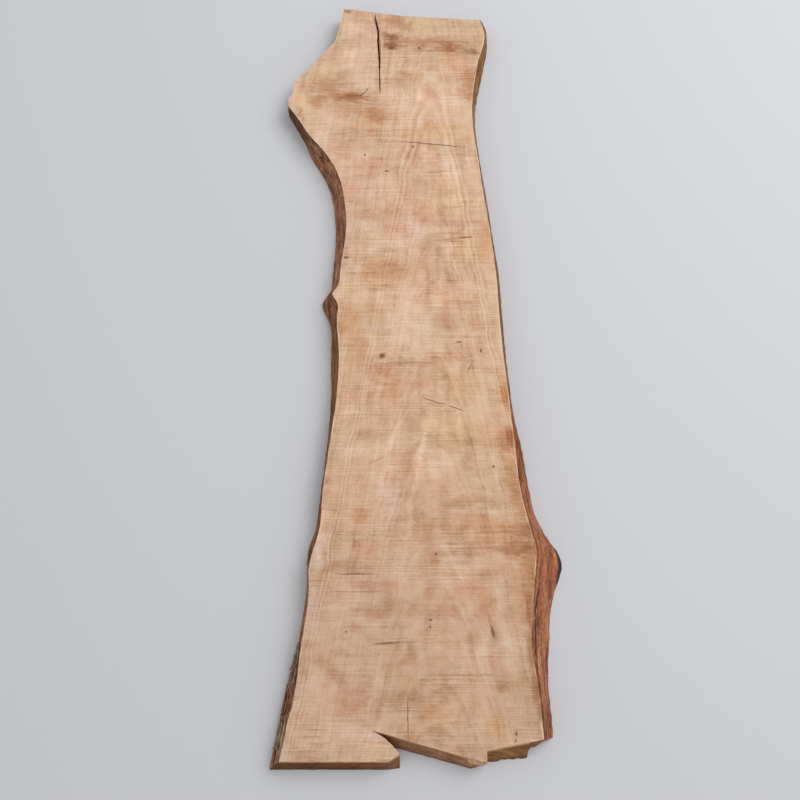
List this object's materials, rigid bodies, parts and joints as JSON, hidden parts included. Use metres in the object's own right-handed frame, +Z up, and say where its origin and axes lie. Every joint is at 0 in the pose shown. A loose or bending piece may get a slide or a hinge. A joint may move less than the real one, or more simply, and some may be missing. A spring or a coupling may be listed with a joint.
{
  "type": "live-edge timber slab",
  "caption": "Rough-sawn live-edge timber slab with bark along both long sides, a notched and bevelled butt end, a trimmed branch stub and a drying check.",
  "frame": {"origin": "under the middle of the slab's box, on the surface it lies on", "axes": "+X across the slab, +Y along the grain from the butt to the top end, +Z up through the thickness to the narrower sawn face"},
  "size_m": [0.6305, 1.78, 0.05],
  "materials": {
    "timber": "rough sawn, unsealed"
  },
  "bodies": {
    "root": {"slab": "timber"}
  },
  "joints": []
}
